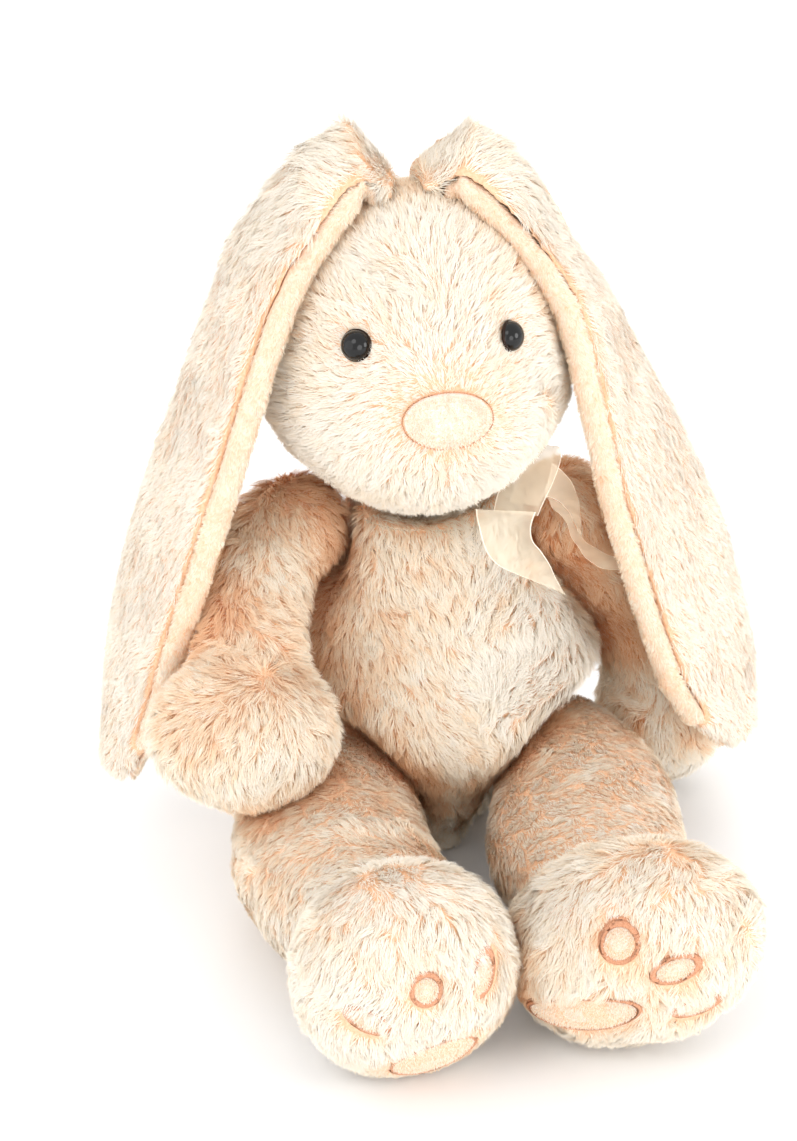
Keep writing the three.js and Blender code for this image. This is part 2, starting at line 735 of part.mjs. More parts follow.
function makeRibbon() {
  const room = (grow) => bodySolid(grow).trimByPlane([0, 0, 1], RIBBON.bottom);
  const offBody = 0.6;
  const band = room(offBody + RIBBON.thickness)
    .trimByPlane([0, 0, -1], -RIBBON.top)
    .subtract(bodySolid(offBody))
    .subtract(headBowl(1.2))
    .subtract(sphere(SHOULDER.left, SEAM_R.shoulder + SOCKET_GAP))
    .subtract(sphere(SHOULDER.right, SEAM_R.shoulder + SOCKET_GAP));
  piece("ribbon_neck_band", band, COLOUR.ribbon, 0.5);
  piece("ribbon_knot", ellipsoid(KNOT.centre, KNOT.radii, 12, 8), COLOUR.ribbon, 0.5);
  Object.entries(STRIPS).forEach(([name, stations]) => {
    piece(name, strip(stations), COLOUR.ribbon, 0.5);
  });
}

makeHead();
makeEars();
makeArms();
makeLegs(leftPawPress);
makeBody();
makeTail();
makeRibbon();

export default rabbit;
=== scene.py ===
import math

import bpy
import numpy as np
from mathutils import Matrix, Vector
from mathutils.bvhtree import BVHTree
from mathutils.kdtree import KDTree


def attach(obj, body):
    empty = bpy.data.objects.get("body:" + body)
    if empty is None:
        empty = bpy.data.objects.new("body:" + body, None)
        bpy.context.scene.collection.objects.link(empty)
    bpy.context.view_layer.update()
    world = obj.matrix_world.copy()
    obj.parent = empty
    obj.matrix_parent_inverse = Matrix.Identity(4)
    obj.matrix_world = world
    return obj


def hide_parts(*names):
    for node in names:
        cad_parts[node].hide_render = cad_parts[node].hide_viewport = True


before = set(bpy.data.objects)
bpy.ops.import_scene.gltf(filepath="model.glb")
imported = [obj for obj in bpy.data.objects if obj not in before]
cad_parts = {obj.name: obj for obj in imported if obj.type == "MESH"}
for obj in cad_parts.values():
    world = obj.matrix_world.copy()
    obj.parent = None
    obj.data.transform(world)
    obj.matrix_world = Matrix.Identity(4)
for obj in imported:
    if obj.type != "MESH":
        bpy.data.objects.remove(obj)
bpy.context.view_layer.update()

MM = 0.001
DENSITY = 1.0
THICKEN = 1.0
PIECE_STRANDS = 38000  # the most strands in one piece
STATIONS = np.array([0, 0.36, 0.7, 1.0])  # where a strand's four stations lie along it
FLOOR_GAP = 0.0006
SKIN_FLOOR = 0.001  # the lowest a stuffed skin reaches
FAR_GAP = 0.05  # the gap counted where nothing else is near
SEARCH = 0.04  # how far another part's skin is looked for
TONE_KNEE = 2.9  # darker tones than this are held back to a share of their depth
TONE_SHARE = 0.3
EYE_RADIUS = 6.4
EYE_RISE = 5.2
EYE_SIDES = 56
EYE_CLEAR = 0.0063  # fur starts this far from an eye's centre
NOSE_CLEAR = 1.04  # and this share outside the nose's outline
scene = bpy.context.scene


# ---------- camera, light and floor ----------
def place(obj):
    scene.collection.objects.link(obj)
    return obj


camera = place(bpy.data.objects.new("camera", bpy.data.cameras.new("camera")))
camera.location = (-0.19592, -1.08987, 0.69069)
look = Vector((-0.01472, 0.05418, 0.1005)) - camera.location
camera.rotation_euler = look.to_track_quat("-Z", "Y").to_euler()
camera.data.lens = 90
camera.data.sensor_width = 36
scene.camera = camera
scene.view_settings.view_transform = "Standard"


def lamp(name, spot, aim, size, power):
    """A round area lamp at a spot in metres, facing its aim."""
    data = bpy.data.lights.new(name, "AREA")
    data.shape = "DISK"
    data.size = size
    data.energy = power
    obj = place(bpy.data.objects.new(name, data))
    obj.location = spot
    obj.rotation_euler = (Vector(aim) - obj.location).to_track_quat("-Z", "Y").to_euler()


lamp("key", (-0.9, -1.0, 1.5), (0, 0, 0.15), 0.9, 4.5)
lamp("fill", (1.3, -0.9, 0.6), (0, 0, 0.15), 0.8, 6)
lamp("front", (0.2, -1.75, 0.4), (0, 0, 0.12), 1.1, 7)
lamp("side", (-1.35, -0.55, 0.45), (0, 0, 0.2), 1.6, 4)
lamp("rim", (0.3, 1.4, 1.3), (0, 0, 0.15), 1.2, 5)
world = bpy.data.worlds.new("studio")
scene.world = world
world.use_nodes = True
world.node_tree.nodes["Background"].inputs["Color"].default_value = (1, 1, 1, 1)
world.node_tree.nodes["Background"].inputs["Strength"].default_value = 1.08


# ---------- materials ----------
def linear(r, g, b):
    """An sRGB colour, 0 to 255, as linear values."""
    c = np.array([r, g, b]) / 255
    return tuple(np.where(c <= 0.04045, c / 12.92, ((c + 0.055) / 1.055) ** 2.4)) + (1.0,)


def shader(name, rgb, roughness=0.85, **inputs):
    """A Principled material; inputs name its sockets, with _ for a space."""
    mat = bpy.data.materials.new(name)
    mat.use_nodes = True
    node = mat.node_tree.nodes["Principled BSDF"]
    node.inputs["Base Color"].default_value = linear(*rgb)
    node.inputs["Roughness"].default_value = roughness
    for key, value in inputs.items():
        node.inputs[key.replace("_", " ")].default_value = value
    mat.diffuse_color = linear(*rgb)
    return mat


def mottled(name, dark, light, scale, roughness=0.9, bump=0.3, depth=0.0004, **inputs):
    """A Principled material whose colour and height follow a noise in the object's own space."""
    mat = shader(name, light, roughness, **inputs)
    tree = mat.node_tree
    node = tree.nodes["Principled BSDF"]
    coords = tree.nodes.new("ShaderNodeTexCoord")
    noise = tree.nodes.new("ShaderNodeTexNoise")
    noise.inputs["Scale"].default_value = scale
    noise.inputs["Detail"].default_value = 6
    ramp = tree.nodes.new("ShaderNodeValToRGB")
    ramp.color_ramp.elements[0].position = 0.35
    ramp.color_ramp.elements[1].position = 0.65
    ramp.color_ramp.elements[0].color = linear(*dark)
    ramp.color_ramp.elements[1].color = linear(*light)
    height = tree.nodes.new("ShaderNodeBump")
    height.inputs["Strength"].default_value = bump
    height.inputs["Distance"].default_value = depth
    tree.links.new(coords.outputs["Object"], noise.inputs["Vector"])
    tree.links.new(noise.outputs["Fac"], ramp.inputs["Fac"])
    tree.links.new(ramp.outputs["Color"], node.inputs["Base Color"])
    tree.links.new(noise.outputs["Fac"], height.inputs["Height"])
    tree.links.new(height.outputs["Normal"], node.inputs["Normal"])
    return mat


floor_mesh = bpy.data.meshes.new("floor")
floor_mesh.from_pydata([(-9, -6, 0), (9, -6, 0), (9, 12, 0), (-9, 12, 0)], [], [(0, 1, 2, 3)])
floor = place(bpy.data.objects.new("floor", floor_mesh))
floor.location.z = -FLOOR_GAP
floor_mesh.materials.append(shader("floor_white", (252, 252, 252), 0.9))

# Fur tones from light to dark; the copper and rust tones mostly carry painted shade.
FUR_TONES = [
    shader("fur_ivory", (250, 243, 231), 0.8, Specular_IOR_Level=0.1),
    shader("fur_cream", (250, 238, 219), 0.8, Specular_IOR_Level=0.1),
    shader("fur_warm", (249, 225, 196), 0.8, Specular_IOR_Level=0.1),
    shader("fur_peach", (245, 202, 162), 0.85, Specular_IOR_Level=0.1),
    shader("fur_copper", (234, 164, 116), 0.9, Specular_IOR_Level=0.1),
    shader("fur_rust", (208, 130, 86), 0.9, Specular_IOR_Level=0.1),
]
skin_mat = mottled("plush_backing", (232, 182, 142), (244, 206, 172), 900)
lining_mat = mottled("ear_lining_pile", (240, 208, 182), (249, 226, 205), 700)
nose_mat = mottled("nose_pile", (242, 231, 217), (252, 246, 237), 1400)
velour_mat = mottled("sole_velour", (226, 204, 186), (246, 234, 222), 1500)
thread_mat = mottled("satin_thread", (200, 136, 100), (228, 172, 136), 2500, 0.4)
ribbon_mat = shader("organza_sheer", (255, 239, 213), 0.5, Alpha=0.42, Specular_IOR_Level=0.3)
selvedge_mat = shader("organza_edge", (255, 242, 222), 0.5, Alpha=0.85)
eye_mat = mottled("eye_plastic", (7, 6, 6), (10, 9, 8), 300, 0.1, 0.0, Specular_IOR_Level=0.45)
rim_mat = mottled("eye_rim", (34, 20, 13), (46, 28, 18), 300, 0.2, 0.0, Specular_IOR_Level=0.2)
washer_mat = mottled("washer_plastic", (225, 225, 220), (236, 236, 232), 400, 0.5)
cotton_mat = mottled("cotton_bag", (205, 200, 188), (222, 218, 208), 1200)


# ---------- skins ----------
def mesh_object(name, verts, faces, mats):
    mesh = bpy.data.meshes.new(name)
    mesh.from_pydata([tuple(v) for v in verts], [], faces)
    mesh.update()
    for mat in mats:
        mesh.materials.append(mat)
    return place(bpy.data.objects.new(name, mesh))


def smooth_shade(obj):
    obj.data.polygons.foreach_set("use_smooth", [True] * len(obj.data.polygons))


def arrays(obj):
    """(corner positions, corner normals, triangles) of a mesh."""
    mesh = obj.data
    co = np.empty(len(mesh.vertices) * 3)
    no = np.empty(len(mesh.vertices) * 3)
    mesh.vertices.foreach_get("co", co)
    mesh.vertices.foreach_get("normal", no)
    mesh.calc_loop_triangles()
    tris = np.empty(len(mesh.loop_triangles) * 3, np.int64)
    mesh.loop_triangles.foreach_get("vertices", tris)
    return co.reshape(-1, 3), no.reshape(-1, 3), tris.reshape(-1, 3)


def skin(name, nodes, body, mat, voxel=3.0, smooth=12, inset=1.5, swell=None):
    """A smooth closed skin over CAD nodes, set in from their surface to leave room for the pile.

    swell gives how far each point moves, in millimetres, from its position and normal.
    """
    verts, faces = [], []
    for node in nodes:
        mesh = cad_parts[node].data
        start = len(verts)
        verts += [tuple(v.co) for v in mesh.vertices]
        faces += [[start + i for i in p.vertices] for p in mesh.polygons]
    rough = mesh_object(name + "_rough", verts, faces, [])
    remesh = rough.modifiers.new("remesh", "REMESH")
    remesh.mode = "VOXEL"
    remesh.voxel_size = voxel * MM
    even = rough.modifiers.new("even", "SMOOTH")
    even.factor = 0.5
    even.iterations = smooth
    bpy.context.view_layer.update()
    graph = bpy.context.evaluated_depsgraph_get()
    mesh = bpy.data.meshes.new_from_object(rough.evaluated_get(graph))
    mesh.name = name
    bpy.data.objects.remove(rough)
    obj = place(bpy.data.objects.new(name, mesh))
    mesh.materials.clear()
    mesh.materials.append(mat)
    co, no, _ = arrays(obj)
    co -= no * inset * MM
    if swell is not None:
        co += swell(co / MM, no) * MM
    co[:, 2] = np.maximum(co[:, 2], SKIN_FLOOR)
    mesh.vertices.foreach_set("co", co.ravel())
    mesh.update()
    smooth_shade(obj)
    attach(obj, body)
    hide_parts(*nodes)
    return obj


def hump(x, middle, width):
    return np.exp(-(((x - middle) / width) ** 2))


def belly_swell(p, n):
    """The belly's underside hangs between the thighs."""
    front = np.clip(-p[:, 1] / 40, 0, 1)
    return n * (9 * hump(p[:, 2], 56, 24) * front)[:, None]


def cheek_swell(p, n):
    """Both cheeks are fuller than the forehead."""
    return n * (4.5 * hump(p[:, 2], 210, 24) * np.abs(n[:, 0]))[:, None]


def fold_swell(p, n):
    """Each ear narrows towards its fold over the crown."""
    outer = np.clip(n[:, 0] * np.sign(p[:, 0] + 15), 0, 1)
    right = p[:, 0] > -15
    high = np.clip((p[:, 2] - np.where(right, 255, 275)) / 30, 0, 1)
    inward = np.where(right, 8.0, 4.5) * high * outer * np.sign(p[:, 0] + 15)
    return np.stack([-inward, 0 * inward, 0 * inward], -1) - n * (1.5 * high)[:, None]


def left_arm_swell(p, n):
    """The left arm and paw are fuller on their outer side."""
    outer = np.clip(-n[:, 0], 0, 1)
    far = 7 * hump(p[:, 2], 140, 32) + 4 * hump(p[:, 2], 88, 20)
    return np.array([-1.0, 0, 0])[None] * (outer * far)[:, None]


def right_arm_swell(p, n):
    """The right arm's inner side leans on the body."""
    inner = np.clip(-n[:, 0], 0, 1)
    return np.array([-1.0, 0, 0])[None] * (3.5 * inner * hump(p[:, 2], 110, 35))[:, None]


def thigh_swell(p, n):
    """The thighs are stuffed full towards each other."""
    towards = -np.sign(p[:, 0])
    inner = np.clip(n[:, 0] * towards, 0, 1)
    far = 7 * hump(p[:, 1], -100, 38) * inner
    return np.stack([towards * far, 0 * far, 0 * far], -1)


ARM_SWELLS = {"left": left_arm_swell, "right": right_arm_swell}
SIDES = ("left", "right")
PADS = ("toe_inner", "toe_middle", "toe_outer", "ball")
skins = {}
sole_nodes = {s: [f"{p}_{q}_{s}" for p in PADS for q in ("pad", "stitching")] for s in SIDES}
skins["head"] = skin(
    "head_skin",
    ["head_cover", "head_stuffing", "nose_patch", "nose_stitching"],
    "head", skin_mat, smooth=16, inset=1.2,
    swell=cheek_swell,
)
skins["body"] = skin(
    "body_skin", ["body_cover", "body_stuffing"], "torso", skin_mat, smooth=16,
    swell=belly_swell,
)
skins["tail"] = skin("tail_skin", ["tail_cover", "tail_stuffing"], "torso", skin_mat)
for s in SIDES:
    skins[f"arm_{s}"] = skin(
        f"arm_skin_{s}", [f"arm_cover_{s}", f"arm_stuffing_{s}"], f"arm_{s}",
        skin_mat, smooth=14, swell=ARM_SWELLS[s],
    )
    skins[f"leg_{s}"] = skin(
        f"leg_skin_{s}", [f"leg_cover_{s}", f"leg_stuffing_{s}", *sole_nodes[s]], f"leg_{s}",
        skin_mat, smooth=14, swell=thigh_swell,
    )
    skins[f"ear_{s}"] = skin(
        f"ear_skin_{s}", [f"ear_outer_{s}"], f"ear_{s}", skin_mat,
        voxel=2.0, smooth=12, inset=0.0, swell=fold_swell,
    )
    skins[f"lining_{s}"] = skin(
        f"ear_lining_skin_{s}", [f"ear_lining_{s}"], f"ear_{s}",
        lining_mat, voxel=1.8, smooth=6, inset=0.0,
    )


# ---------- fur ----------
def waves(points, size, seed, count=7):
    """A smooth random vector field with features of about that size in metres."""
    r = np.random.default_rng(seed)
    k = r.normal(size=(count, 3)) * 2.2 / size
    phase = r.uniform(0, 2 * np.pi, (count, 3))
    turn = points @ k.T
    return np.sin(turn[:, :, None] + phase[None]).sum(1) / math.sqrt(count)


def unit(v):
    return v / np.maximum(np.linalg.norm(v, axis=1, keepdims=True), 1e-9)


def tangent(v, normal):
    return unit(v - normal * (v * normal).sum(1, keepdims=True))


def smoothstep(x, low, high):
    t = np.clip((x - low) / (high - low), 0, 1)
    return t * t * (3 - 2 * t)


def tree_of(obj):
    co, _, tris = arrays(obj)
    return BVHTree.FromPolygons(co.tolist(), tris.tolist())


TREES = {name: tree_of(obj) for name, obj in skins.items()}
OWN = {f"ear_{s}": f"lining_{s}" for s in SIDES} | {f"lining_{s}": f"ear_{s}" for s in SIDES}


def closeness(points, own, reach, ignored=()):
    """For each point, 0 in the open and 1 where another part's skin is near or touching."""
    skipped = {own, OWN.get(own), *ignored}
    others = [t for name, t in TREES.items() if name not in skipped]
    gap = np.full(len(points), FAR_GAP)
    for i, p in enumerate(points.tolist()):
        for tree in others:
            hit = tree.find_nearest(p, SEARCH)
            if hit[3] is not None and hit[3] < gap[i]:
                gap[i] = hit[3]
    return 1 - smoothstep(gap, 0.15 * reach * MM, reach * MM)


def sample(obj, per_mm2, weight, rng):
    """Random roots on a mesh: positions, normals, the triangles' corner numbers and weights."""
    co, no, tris = arrays(obj)
    a, b, c = (co[tris[:, i]] for i in range(3))
    area = np.linalg.norm(np.cross(b - a, c - a), axis=1) / 2
    mass = area * np.clip(weight[tris].mean(1), 0, 1)
    total = int(mass.sum() * 1e6 * per_mm2)
    pick = rng.choice(len(tris), total, p=mass / mass.sum())
    u, v = rng.random(total), rng.random(total)
    flip = u + v > 1
    u[flip], v[flip] = 1 - u[flip], 1 - v[flip]
    bary = np.stack([1 - u - v, u, v], 1)
    corner = tris[pick]
    points = (co[corner] * bary[..., None]).sum(1)
    normals = unit((no[corner] * bary[..., None]).sum(1))
    return points, normals, corner, bary


def nearest_clump(points, centres):
    tree = KDTree(len(centres))
    for i, p in enumerate(centres.tolist()):
        tree.insert(p, i)
    tree.balance()
    return np.array([tree.find(p)[1] for p in points.tolist()])


def fast_mesh(name, verts, corners, starts, tones):
    mesh = bpy.data.meshes.new(name)
    mesh.vertices.add(len(verts))
    mesh.vertices.foreach_set("co", verts.astype(np.float32).ravel())
    mesh.loops.add(len(corners))
    mesh.loops.foreach_set("vertex_index", corners.astype(np.int32))
    mesh.polygons.add(len(starts))
    mesh.polygons.foreach_set("loop_start", starts.astype(np.int32))
    for mat in FUR_TONES:
        mesh.materials.append(mat)
    mesh.polygons.foreach_set("material_index", tones.astype(np.int32))
    mesh.update(calc_edges=True)
    return mesh


def strands(name, body, rows, width, levels):
    """Mesh strands through rows, an array (strand, 4 stations, xyz), tapering to a point."""
    ahead = unit(rows[:, 2] - rows[:, 0])
    out = width["side"]
    side = unit(np.cross(ahead, out))
    half = width["half"][:, None, None] * np.array([1.0, 0.95, 0.62])[None, :, None]
    lefts = rows[:, :3] - side[:, None] * half
    rights = rows[:, :3] + side[:, None] * half
    verts = np.empty((len(rows), 7, 3))
    verts[:, 0:6:2] = lefts
    verts[:, 1:6:2] = rights
    verts[:, 6] = rows[:, 3]
    shape = np.array([0, 1, 3, 2, 2, 3, 5, 4, 4, 5, 6])
    for part, first in enumerate(range(0, len(rows), PIECE_STRANDS)):
        block = verts[first : first + PIECE_STRANDS]
        n = len(block)
        corners = (np.arange(n)[:, None] * 7 + shape[None]).ravel()
        starts = (np.arange(n)[:, None] * 11 + np.array([0, 4, 8])[None]).ravel()
        tones = np.rint(levels[first : first + PIECE_STRANDS]).ravel()
        tones = np.clip(tones, 0, len(FUR_TONES) - 1)
        mesh = fast_mesh(f"{name}_{part + 1}", block.reshape(-1, 3), corners, starts, tones)
        obj = place(bpy.data.objects.new(mesh.name, mesh))
        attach(obj, body)


def grow(name, key, body, spec):
    """Covers a skin with combed, clumped pile.

    In spec, per_mm2 is the strands per square millimetre, and width, clump, length and reach are
    in millimetres. lift, pull and swirl shape the strands. A tone counts down FUR_TONES: tone is
    the tips', root and middle add to it, deepen adds painted shade near other parts, blotch varies
    it, and strands low by the floor get painted shade too. comb, where, clear and tint are fields
    over the skin's points; tint adds painted shade, and on the belly painted light too.
    """
    rng = np.random.default_rng(spec["seed"])
    obj = skins[key]
    co, no, tris = arrays(obj)
    weight = spec["where"](co, no)
    near = closeness(co, key, spec.get("reach", 26), spec.get("ignore", ()))
    points, normals, corner, bary = sample(obj, spec["per_mm2"] * DENSITY, weight, rng)
    if spec.get("clear") is not None:
        keep = spec["clear"](points)
        points, normals, corner, bary = (x[keep] for x in (points, normals, corner, bary))
    hidden = (near[corner] * bary).sum(1)
    n = len(points)
    length = spec["length"](points, normals) * MM
    comb = spec["comb"](points, normals)
    comb = unit(comb) + spec["swirl"] * waves(points, 0.042, spec["seed"] + 1)
    comb += 0.3 * waves(points, 0.013, spec["seed"] + 2)
    comb = tangent(comb, normals)
    clump = spec["clump"] * MM
    area_mm2 = n / (spec["per_mm2"] * DENSITY)
    count = max(8, int(area_mm2 / (spec["clump"] ** 2)))
    chosen = rng.choice(n, min(count, n), replace=False)
    owner = nearest_clump(points, points[chosen])
    clump_comb = unit(comb[chosen] + 0.42 * rng.normal(size=(len(chosen), 3)))
    clump_size = rng.uniform(0.82, 1.12, len(chosen))
    clump_tone = rng.normal(0, 0.3, len(chosen))
    clump_pull = rng.uniform(0.25, 0.75, len(chosen))
    lift = spec["lift"] * rng.uniform(0.85, 1.15, n)[:, None]
    own = unit(0.55 * comb + 0.45 * clump_comb[owner] + 0.16 * rng.normal(size=(n, 3)))
    own = tangent(own, normals)
    size = (length * clump_size[owner] * rng.uniform(0.8, 1.1, n))[:, None]

    def course(root, normal, way, reach, rise):
        t = STATIONS[None, :, None]
        up = normal[:, None] * rise[:, None] * (t - 0.35 * t * t)
        along = way[:, None] * (0.34 * t + 0.5 * t * t)
        return root[:, None] + reach[:, None] * (up + along)

    rows = course(points - normals * 0.4 * MM, normals, own, size, lift)
    middle = course(
        points[chosen], normals[chosen], tangent(clump_comb, normals[chosen]),
        (length[chosen] * clump_size)[:, None], np.full((len(chosen), 1), spec["lift"] * 1.05),
    )
    pull = np.clip(clump_pull[owner] * spec.get("pull", 1.0), 0, 0.9)[:, None, None]
    shift = (middle[owner, 3] - rows[:, 3])[:, None]
    far = np.linalg.norm(shift, axis=2, keepdims=True)
    shift = shift * np.minimum(1, 1.5 * clump / np.maximum(far, 1e-9))
    rows += pull * shift * (STATIONS**2)[None, :, None]
    rows[:, 1:] += rng.normal(size=(n, 3, 3)) * size[:, None] * 0.035
    floor_level = 0.4 * MM + 0.8 * MM * rng.random(n)
    rows[:, :, 2] = np.maximum(rows[:, :, 2], floor_level[:, None])
    tone = spec["tone"] + clump_tone[owner] + rng.normal(0, 0.28, n)
    # Painted shade: the tone deepens where another part's skin is near.
    tone += spec["deepen"] * hidden
    tone += spec.get("blotch", 0.4) * waves(points, 0.03, spec["seed"] + 3)[:, 0]
    if "tint" in spec:
        tone += spec["tint"](points)
    # Painted shade: strands low by the floor take a warmer tone.
    tone += 0.4 * (1 - smoothstep(points[:, 2], 0.004, 0.02))
    tone += 0.8 * spec.get("blotch", 0.4) * waves(points, 0.012, spec["seed"] + 4)[:, 1]
    tone = np.minimum(tone, TONE_KNEE + TONE_SHARE * (tone - TONE_KNEE))
    levels = np.stack([tone + spec["root"], tone + spec["middle"], tone], 1)
    levels[:, 0] = np.maximum(levels[:, 0], 1.2)
    width = {"side": normals, "half": spec["width"] * MM * THICKEN * rng.uniform(0.7, 1.2, n) / 2}
    strands(name, body, rows, width, levels)


def everywhere(p, n):
    return np.ones(len(p))


def one_length(length):
    """Fur of one length in millimetres."""
    return lambda p, n: np.full(len(p), length)


HEAD = np.array([-0.0165, 0.002, 0.234])
NOSE = np.array([-0.0145, -0.068, 0.2295])
EYES = [np.array([-0.0485, -0.05, 0.256]), np.array([0.0155, -0.05, 0.256])]
NOSE_HALF = (0.0168, 0.0106)


def distance(p, centre):
    return np.linalg.norm(p - centre, axis=1)


def nose_oval(p):
    """1 on the nose's outline, less inside."""
    x = (p[:, 0] - NOSE[0]) / NOSE_HALF[0]
    z = (p[:, 2] - NOSE[2]) / NOSE_HALF[1]
    return np.where(p[:, 1] < -0.03, np.hypot(x, z), 9)


def head_length(p, n):
    out = 9.0 * np.ones(len(p))
    from_nose = nose_oval(p)
    out *= 0.38 + 0.62 * smoothstep(from_nose, 1.0, 2.7)
    for eye in EYES:
        out *= 0.5 + 0.5 * smoothstep(distance(p, eye), 0.007, 0.017)
    crease = np.abs(p[:, 0] - NOSE[0]) < 0.0016
    crease &= (p[:, 2] < NOSE[2]) & (p[:, 2] > 0.203) & (p[:, 1] < -0.03)
    return np.where(crease, out * 0.5, out)


def head_comb(p, n):
    away = unit(p - NOSE)
    down = np.array([0, 0, -1.0])
    back = smoothstep(p[:, 1], -0.03, 0.03)[:, None]
    comb = away * (1 - 0.6 * back) + down * (0.25 + 0.9 * back)
    return comb


def head_clear(p):
    clear = nose_oval(p) > NOSE_CLEAR
    for eye in EYES:
        clear &= distance(p, eye) > EYE_CLEAR
    return clear


def head_crease_shade(p):
    """Painted shade darkens a short seam below the nose and a faint crease rising beside it."""
    under = hump(p[:, 0], NOSE[0], 0.0009) * hump(p[:, 2], NOSE[2] - 0.0165, 0.005)
    slant = p[:, 0] + 0.2 * (p[:, 2] - 0.24)
    crease = hump(slant, NOSE[0] - 0.0165, 0.0012) * hump(p[:, 2], 0.243, 0.01)
    front = smoothstep(-p[:, 1], 0.02, 0.05)
    return (1.5 * under + 0.8 * crease) * front


grow("head_fur", "head", "head", {
    "tint": head_crease_shade,
    "seed": 21, "per_mm2": 2.2, "width": 0.32, "clump": 2.8, "lift": 0.55, "pull": 0.7,
    "swirl": 0.3, "tone": 0.15, "blotch": 0.25, "root": 0.6, "middle": 0.2, "deepen": 2.0,
    "reach": 13,
    "length": head_length, "comb": head_comb, "where": everywhere, "clear": head_clear,
})


def body_comb(p, n):
    whorl = p - np.array([-0.008, -0.06, 0.141])
    near = (1 - smoothstep(np.linalg.norm(whorl, axis=1), 0.0, 0.03))[:, None]
    turned = np.cross(n, unit(whorl))
    to_seam = np.stack([-np.sign(p[:, 0]) * 0.35, np.zeros(len(p)), -np.ones(len(p))], 1)
    return to_seam * (1 - near) + (turned + 0.3 * unit(whorl)) * near


def body_painted_shading(p):
    """Painted shade warms the belly low on its left; painted light makes its right paler."""
    left = smoothstep(-p[:, 0], -0.01, 0.05) * hump(p[:, 2], 0.085, 0.045)
    return 0.9 * left - 0.9 * smoothstep(p[:, 0], -0.02, 0.035)


def body_where(p, n):
    return 0.1 + 0.9 * smoothstep(p[:, 2], 0.001, 0.004)


grow("body_fur", "body", "torso", {
    "seed": 31, "per_mm2": 2.1, "width": 0.34, "clump": 3.4, "lift": 0.55, "pull": 0.75,
    "swirl": 0.4, "tone": 0.55, "root": 1.0, "middle": 0.35, "deepen": 2.6, "ignore": ["head"],
    "tint": body_painted_shading,
    "length": one_length(10.0), "comb": body_comb, "where": body_where,
})
grow("tail_fur", "tail", "torso", {
    "seed": 35, "per_mm2": 2.0, "width": 0.34, "clump": 3.6, "lift": 0.75, "pull": 0.9,
    "swirl": 0.9, "tone": 0.3, "root": 1.7, "middle": 0.7, "deepen": 2.0,
    "length": one_length(9.0),
    "comb": lambda p, n: np.tile([0.1, 0.2, -1.0], (len(p), 1)),
    "where": everywhere,
})

PAWS = {"left": np.array([-0.094, -0.1, 0.098]), "right": np.array([0.103, 0.0, 0.02])}


def arm_comb(side):
    def comb(p, n):
        down = np.array([0.0, -0.3, -1.0]) if side == "left" else np.array([0.25, 0.0, -1.0])
        out = p - PAWS[side]
        far = smoothstep(np.linalg.norm(out, axis=1), 0.012, 0.045)[:, None]
        return down[None] + 0.35 * unit(out) * far

    return comb


def arm_painted_shade(side):
    """Painted shade warms each arm towards its shoulder, and the right arm all over."""
    low, high, depth = (0.08, 0.13, 1.1) if side == "left" else (0.03, 0.11, 1.8)
    return lambda p: depth * smoothstep(p[:, 2], low, high) + (0 if side == "left" else 0.3)


for i, s in enumerate(SIDES):
    grow(f"arm_fur_{s}", f"arm_{s}", f"arm_{s}", {
        "seed": 41 + 10 * i, "per_mm2": 2.1, "width": 0.34, "clump": 3.4, "lift": 0.55,
        "pull": 0.75, "swirl": 0.5, "tone": 0.45, "root": 1.0, "middle": 0.4, "deepen": 2.2,
        "tint": arm_painted_shade(s),
        "length": one_length(10.0), "comb": arm_comb(s),
        "where": everywhere,
    })

# The soles: each foot's centre in millimetres and its turn in degrees about X, Z and Y. A pad's
# spot, size and stitching are in millimetres on the sole, its tilt is in radians, and bare is the
# part of it that the fur leaves open: a shift in half sizes, and a share.
FEET = {
    "left": {"centre": (-50, -178, 47), "tip": 20, "yaw": 9, "roll": -16},
    "right": {"centre": (43, -174, 47), "tip": 15, "yaw": -13, "roll": 60},
}
SOLE = {"half_width": 46.0, "half_length": 55.0, "depth": 36.0}
LEFT_PADS = {
    "toe_inner": {
        "spot": (27, 17), "tilt": -0.35, "size": (12, 21), "stitch": 2.4,
        "bare": (0.45, 0, 0.85),
    },
    "toe_middle": {"spot": (4.5, 26.5), "tilt": 0.0, "size": (13.5, 17), "stitch": 2.4},
    "toe_outer": {
        "spot": (-20, 18), "tilt": -0.85, "size": (20, 12), "stitch": 2.4,
        "bare": (0, -0.45, 0.85),
    },
    "ball": {"spot": (0, -19), "tilt": 0.0, "size": (37, 27), "stitch": 1.6},
}
RIGHT_PADS = {
    "toe_inner": {
        "spot": (15, 20.5), "tilt": 1.26, "size": (21, 12), "stitch": 2.4,
        "bare": (0, -0.45, 0.85),
    },
    "toe_middle": {"spot": (-8.5, 23.5), "tilt": 1.34, "size": (21, 13), "stitch": 2.4},
    "toe_outer": {"spot": (-28, 9.5), "tilt": 0.3, "size": (15.5, 17.5), "stitch": 2.4},
    "ball": {"spot": (-1.5, -20.5), "tilt": 1.43, "size": (48, 20), "stitch": 1.6},
}
FEET["left"]["pads"] = LEFT_PADS
FEET["right"]["pads"] = RIGHT_PADS


def foot_matrix(foot):
    turn = (
        Matrix.Rotation(math.radians(foot["yaw"]), 3, "Z")
        @ Matrix.Rotation(math.radians(foot["tip"]), 3, "X")
        @ Matrix.Rotation(math.radians(foot["roll"]), 3, "Y")
    )
    return np.array(turn), np.array(foot["centre"]) * MM


